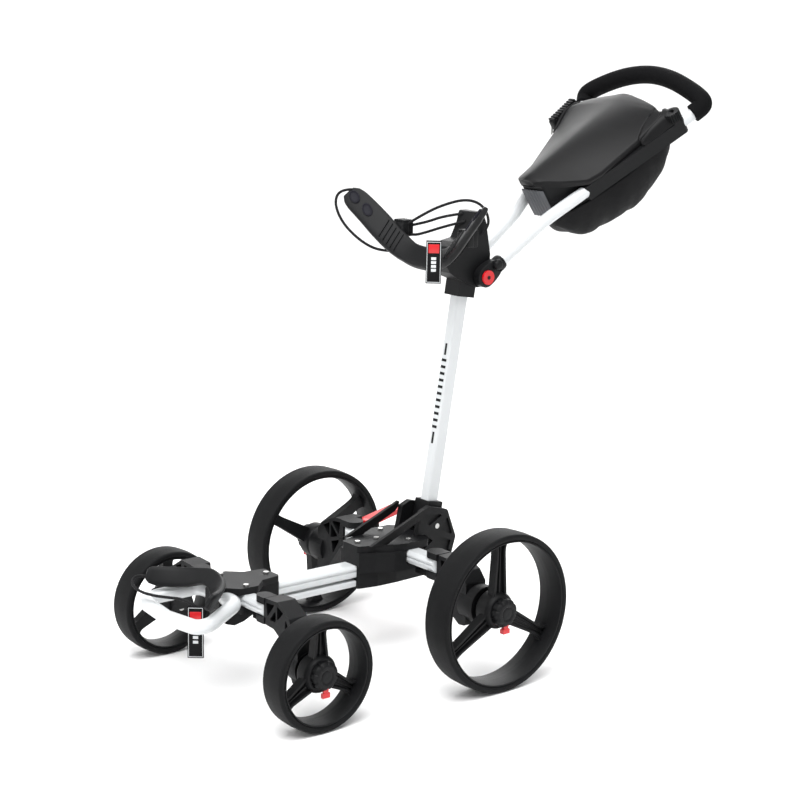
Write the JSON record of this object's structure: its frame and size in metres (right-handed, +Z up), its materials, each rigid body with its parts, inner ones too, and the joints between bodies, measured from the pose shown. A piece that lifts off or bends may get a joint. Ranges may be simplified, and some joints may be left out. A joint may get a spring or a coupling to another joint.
{
  "type": "golf push trolley",
  "caption": "Folding golf push trolley: wheels on swing-in arms, leaning mast with bag yokes, folding handle with lidded console and pouch.",
  "frame": {"origin": "on the floor under the middle of the whole trolley", "axes": "+X towards the grip, +Y to the left wheels, +Z up"},
  "size_m": [1.171, 0.6052, 1.0823],
  "materials": {
    "white_paint": "gloss",
    "white_alloy": "gloss white paint",
    "black_plastic": "fine texture",
    "console_shell": "satin",
    "black_steel": "powder coat",
    "bright_steel": "zinc plated",
    "wheel_foam": "moulded foam",
    "red_plastic": "gloss",
    "grip_foam": "closed-cell foam",
    "pad_rubber": "soft rubber",
    "pouch_fabric": "woven polyester with mesh",
    "elastic_cord": "braided",
    "tab_webbing": "woven"
  },
  "bodies": {
    "chassis": {"main_beam": "white_paint", "lower_beam": "white_paint", "rear_hub": "black_plastic", "rear_hub_lower": "black_plastic", "mast_cradle": "black_plastic", "brace_bars": "black_steel", "front_block": "black_plastic", "hinge_pins": "bright_steel", "chassis_screws": "bright_steel", "lower_yoke": "black_plastic", "bag_rest_tube": "white_paint", "lower_bungee": "elastic_cord", "lower_pull_tab": "tab_webbing"},
    "mast": {"mast_tube": "white_alloy", "mast_foot": "black_plastic", "upper_joint": "black_plastic", "handle_pin": "bright_steel", "upper_yoke": "black_plastic", "yoke_pads": "pad_rubber", "upper_bungee": "elastic_cord", "bungee_loop": "elastic_cord", "yoke_bungee": "elastic_cord", "upper_pull_tab": "tab_webbing"},
    "handle": {"handle_tube": "white_alloy", "handle_grip": "grip_foam", "handle_knuckles": "black_plastic", "pivot_caps": "red_plastic", "console_tray": "black_plastic", "pouch": "pouch_fabric", "umbrella_mount": "black_plastic"},
    "lid": {"console_lid": "console_shell"},
    "brake": {"brake_pedal": "red_plastic"},
    "arm_rear_left": {"arm_rear_left": "white_paint"},
    "link_rear_left": {"link_rear_left": "black_steel"},
    "bracket_rear_left": {"bracket_rear_left": "black_plastic", "axle_rear_left": "bright_steel"},
    "wheel_rear_left": {"tyre_rear_left": "wheel_foam", "rim_rear_left": "black_plastic"},
    "release_rear_left": {"release_button_rear_left": "red_plastic"},
    "arm_rear_right": {"arm_rear_right": "white_paint"},
    "link_rear_right": {"link_rear_right": "black_steel"},
    "bracket_rear_right": {"bracket_rear_right": "black_plastic", "axle_rear_right": "bright_steel"},
    "wheel_rear_right": {"tyre_rear_right": "wheel_foam", "rim_rear_right": "black_plastic"},
    "release_rear_right": {"release_button_rear_right": "red_plastic"},
    "arm_front_left": {"arm_front_left": "white_paint"},
    "link_front_left": {"link_front_left": "black_steel"},
    "bracket_front_left": {"bracket_front_left": "black_plastic", "axle_front_left": "bright_steel"},
    "wheel_front_left": {"tyre_front_left": "wheel_foam", "rim_front_left": "black_plastic"},
    "release_front_left": {"release_button_front_left": "red_plastic"},
    "arm_front_right": {"arm_front_right": "white_paint"},
    "link_front_right": {"link_front_right": "black_steel"},
    "bracket_front_right": {"bracket_front_right": "black_plastic", "axle_front_right": "bright_steel"},
    "wheel_front_right": {"tyre_front_right": "wheel_foam", "rim_front_right": "black_plastic"},
    "release_front_right": {"release_button_front_right": "red_plastic"}
  },
  "joints": [
    {"name": "mast_fold", "type": "hinge", "parent": "chassis", "child": "mast", "pos_m": [0.0041, 0, 0.235], "axis": [0, -1, 0], "range_deg": [0, 82]},
    {"name": "handle_fold", "type": "hinge", "parent": "mast", "child": "handle", "pos_m": [0.1044, 0, 0.701], "axis": [0, 1, 0], "range_deg": [0, 95]},
    {"name": "lid_open", "type": "hinge", "parent": "handle", "child": "lid", "pos_m": [0.27388, 0, 0.83554], "axis": [0, -1, 0], "range_deg": [0, 75]},
    {"name": "brake_press", "type": "hinge", "parent": "bracket_rear_left", "child": "brake", "pos_m": [-0.0296, 0.15, 0.204], "axis": [0, 1, 0], "range_deg": [0, 12]},
    {"name": "fold_rear_left", "type": "hinge", "parent": "chassis", "child": "arm_rear_left", "pos_m": [-0.0726, 0.042, 0.19], "axis": [0, 0, -1], "range_deg": [0, 60]},
    {"name": "bracket_turn_rear_left", "type": "hinge", "parent": "arm_rear_left", "child": "bracket_rear_left", "pos_m": [-0.0726, 0.122, 0.19], "axis": [0, 0, 1], "range_deg": [0, 60]},
    {"name": "link_turn_rear_left", "type": "hinge", "parent": "chassis", "child": "link_rear_left", "pos_m": [-0.0486, 0.042, 0.16], "axis": [0, 0, -1], "range_deg": [0, 60]},
    {"name": "wheel_spin_rear_left", "type": "hinge", "parent": "bracket_rear_left", "child": "wheel_rear_left", "pos_m": [-0.0556, 0.2731, 0.146], "axis": [0, 1, 0], "continuous": true},
    {"name": "release_press_rear_left", "type": "slide", "parent": "wheel_rear_left", "child": "release_rear_left", "axis": [0, 0, 1], "range_m": [0, 0.003], "stiffness_N_per_m": 200, "springref_m": -0.002},
    {"name": "fold_rear_right", "type": "hinge", "parent": "chassis", "child": "arm_rear_right", "pos_m": [-0.0726, -0.042, 0.19], "axis": [0, 0, 1], "range_deg": [0, 60]},
    {"name": "bracket_turn_rear_right", "type": "hinge", "parent": "arm_rear_right", "child": "bracket_rear_right", "pos_m": [-0.0726, -0.122, 0.19], "axis": [0, 0, -1], "range_deg": [0, 60]},
    {"name": "link_turn_rear_right", "type": "hinge", "parent": "chassis", "child": "link_rear_right", "pos_m": [-0.0486, -0.042, 0.16], "axis": [0, 0, 1], "range_deg": [0, 60]},
    {"name": "wheel_spin_rear_right", "type": "hinge", "parent": "bracket_rear_right", "child": "wheel_rear_right", "pos_m": [-0.0556, -0.2731, 0.146], "axis": [0, 1, 0], "continuous": true},
    {"name": "release_press_rear_right", "type": "slide", "parent": "wheel_rear_right", "child": "release_rear_right", "axis": [0, 0, 1], "range_m": [0, 0.003], "stiffness_N_per_m": 200, "springref_m": -0.002},
    {"name": "fold_front_left", "type": "hinge", "parent": "chassis", "child": "arm_front_left", "pos_m": [-0.4356, 0.04, 0.19], "axis": [0, 0, -1], "range_deg": [0, 60]},
    {"name": "bracket_turn_front_left", "type": "hinge", "parent": "arm_front_left", "child": "bracket_front_left", "pos_m": [-0.4356, 0.096, 0.19], "axis": [0, 0, 1], "range_deg": [0, 60]},
    {"name": "link_turn_front_left", "type": "hinge", "parent": "chassis", "child": "link_front_left", "pos_m": [-0.4156, 0.04, 0.16], "axis": [0, 0, -1], "range_deg": [0, 60]},
    {"name": "wheel_spin_front_left", "type": "hinge", "parent": "bracket_front_left", "child": "wheel_front_left", "pos_m": [-0.4256, 0.2398, 0.099], "axis": [0, 1, 0], "continuous": true},
    {"name": "release_press_front_left", "type": "slide", "parent": "wheel_front_left", "child": "release_front_left", "axis": [0, 0, 1], "range_m": [0, 0.003], "stiffness_N_per_m": 200, "springref_m": -0.002},
    {"name": "fold_front_right", "type": "hinge", "parent": "chassis", "child": "arm_front_right", "pos_m": [-0.4356, -0.04, 0.19], "axis": [0, 0, 1], "range_deg": [0, 60]},
    {"name": "bracket_turn_front_right", "type": "hinge", "parent": "arm_front_right", "child": "bracket_front_right", "pos_m": [-0.4356, -0.096, 0.19], "axis": [0, 0, -1], "range_deg": [0, 60]},
    {"name": "link_turn_front_right", "type": "hinge", "parent": "chassis", "child": "link_front_right", "pos_m": [-0.4156, -0.04, 0.16], "axis": [0, 0, 1], "range_deg": [0, 60]},
    {"name": "wheel_spin_front_right", "type": "hinge", "parent": "bracket_front_right", "child": "wheel_front_right", "pos_m": [-0.4256, -0.2398, 0.099], "axis": [0, 1, 0], "continuous": true},
    {"name": "release_press_front_right", "type": "slide", "parent": "wheel_front_right", "child": "release_front_right", "axis": [0, 0, 1], "range_m": [0, 0.003], "stiffness_N_per_m": 200, "springref_m": -0.002}
  ],
  "couplings": [
    {"joint": "bracket_turn_rear_left", "follows": "fold_rear_left", "ratio": 1},
    {"joint": "link_turn_rear_left", "follows": "fold_rear_left", "ratio": 1},
    {"joint": "fold_rear_right", "follows": "fold_rear_left", "ratio": 1},
    {"joint": "bracket_turn_rear_right", "follows": "fold_rear_left", "ratio": 1},
    {"joint": "link_turn_rear_right", "follows": "fold_rear_left", "ratio": 1},
    {"joint": "fold_front_left", "follows": "fold_rear_left", "ratio": 1},
    {"joint": "bracket_turn_front_left", "follows": "fold_rear_left", "ratio": 1},
    {"joint": "link_turn_front_left", "follows": "fold_rear_left", "ratio": 1},
    {"joint": "fold_front_right", "follows": "fold_rear_left", "ratio": 1},
    {"joint": "bracket_turn_front_right", "follows": "fold_rear_left", "ratio": 1},
    {"joint": "link_turn_front_right", "follows": "fold_rear_left", "ratio": 1}
  ]
}
